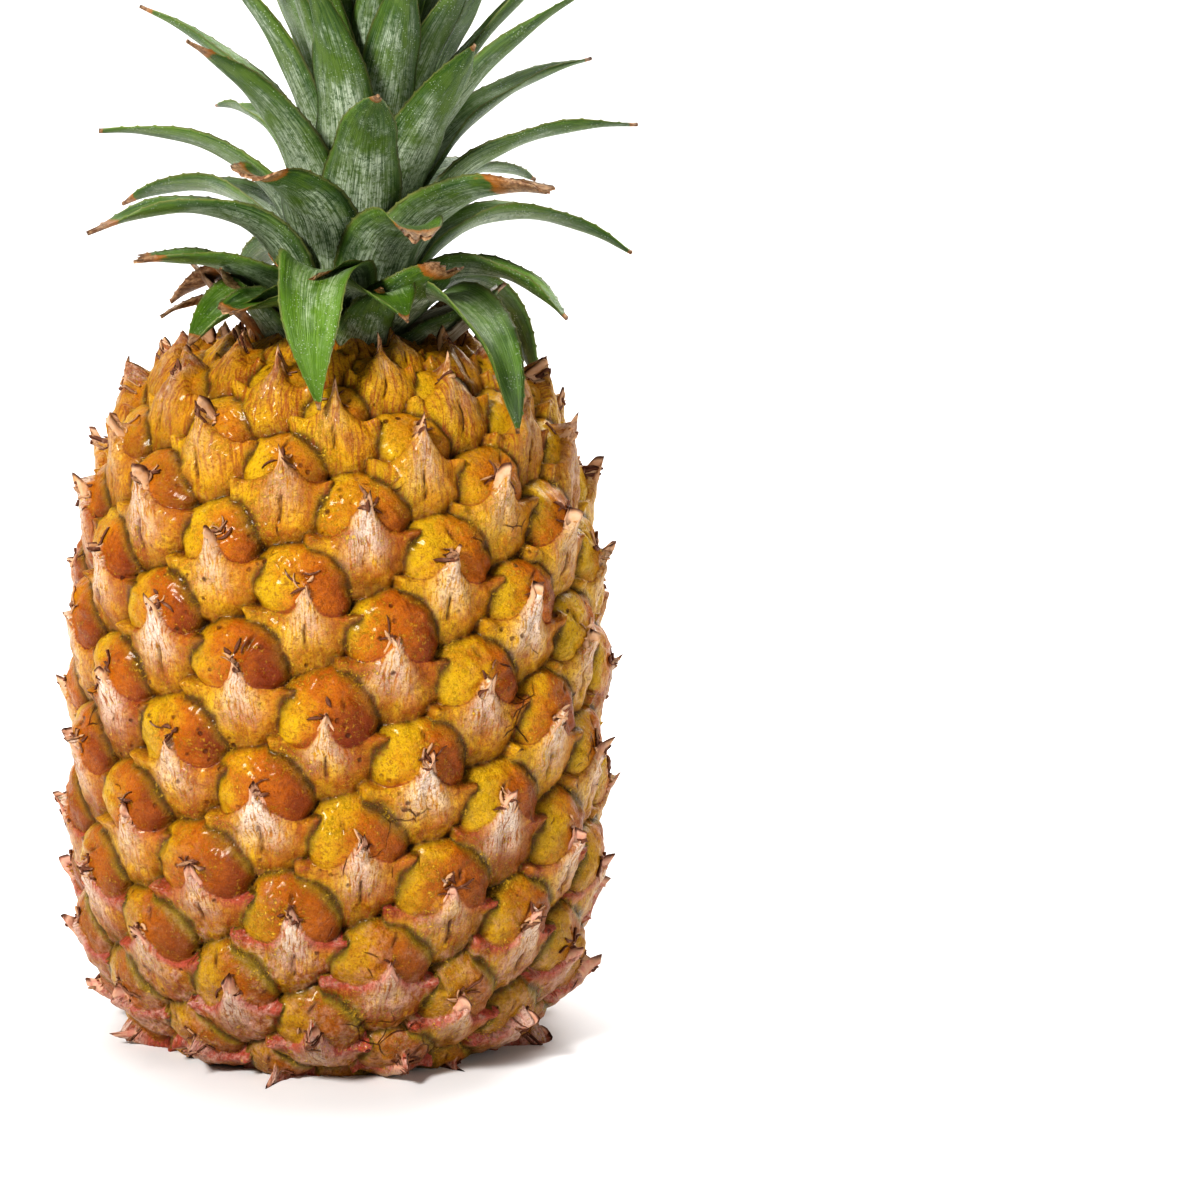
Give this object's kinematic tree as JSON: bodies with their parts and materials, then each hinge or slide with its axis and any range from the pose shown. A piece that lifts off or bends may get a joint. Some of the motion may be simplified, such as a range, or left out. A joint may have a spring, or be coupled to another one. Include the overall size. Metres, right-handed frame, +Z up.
{
  "type": "pineapple",
  "caption": "Whole fresh pineapple standing upright: a knobbly golden barrel of spiralling eyes on a cut stalk, topped by a crown of stiff arching green leaves.",
  "frame": {"origin": "middle of the flat spot that the pineapple stands on, under the fruit's axis", "axes": "+Z up along the fruit's axis towards the crown; -Y is the side that the picture shows and +X is that side's right"},
  "size_m": [0.1211, 0.1195, 0.2491],
  "materials": {
    "skin": "waxy, mottled golden-brown skin with greenish grooves and powdery bracts",
    "cut_fibre": "dry, fibrous cut stalk",
    "pith": "pale, moist stem tissue",
    "leaf": "stiff satin leaf with a silvery bloom and dry brown tip"
  },
  "bodies": {
    "root": {"fruit": "skin", "cut_stalk": "cut_fibre", "crown_stem": "pith", "leaf_01": "leaf", "leaf_02": "leaf", "leaf_03": "leaf", "leaf_04": "leaf", "leaf_05": "leaf", "leaf_06": "leaf", "leaf_07": "leaf", "leaf_08": "leaf", "leaf_09": "leaf", "leaf_10": "leaf", "leaf_11": "leaf", "leaf_12": "leaf", "leaf_13": "leaf", "leaf_14": "leaf", "leaf_15": "leaf", "leaf_16": "leaf", "leaf_17": "leaf", "leaf_18": "leaf", "leaf_19": "leaf", "leaf_20": "leaf", "leaf_21": "leaf", "leaf_22": "leaf", "leaf_23": "leaf", "leaf_24": "leaf", "leaf_25": "leaf", "leaf_26": "leaf", "leaf_27": "leaf", "leaf_28": "leaf", "leaf_29": "leaf", "leaf_30": "leaf", "leaf_31": "leaf", "leaf_32": "leaf", "leaf_33": "leaf", "leaf_34": "leaf", "leaf_35": "leaf", "leaf_36": "leaf", "leaf_37": "leaf", "leaf_38": "leaf", "leaf_39": "leaf", "leaf_40": "leaf", "leaf_41": "leaf", "leaf_42": "leaf", "leaf_43": "leaf", "leaf_44": "leaf", "leaf_45": "leaf", "leaf_46": "leaf", "leaf_47": "leaf", "leaf_48": "leaf", "leaf_49": "leaf", "leaf_50": "leaf", "leaf_51": "leaf", "leaf_52": "leaf", "leaf_53": "leaf", "leaf_54": "leaf"}
  },
  "joints": []
}
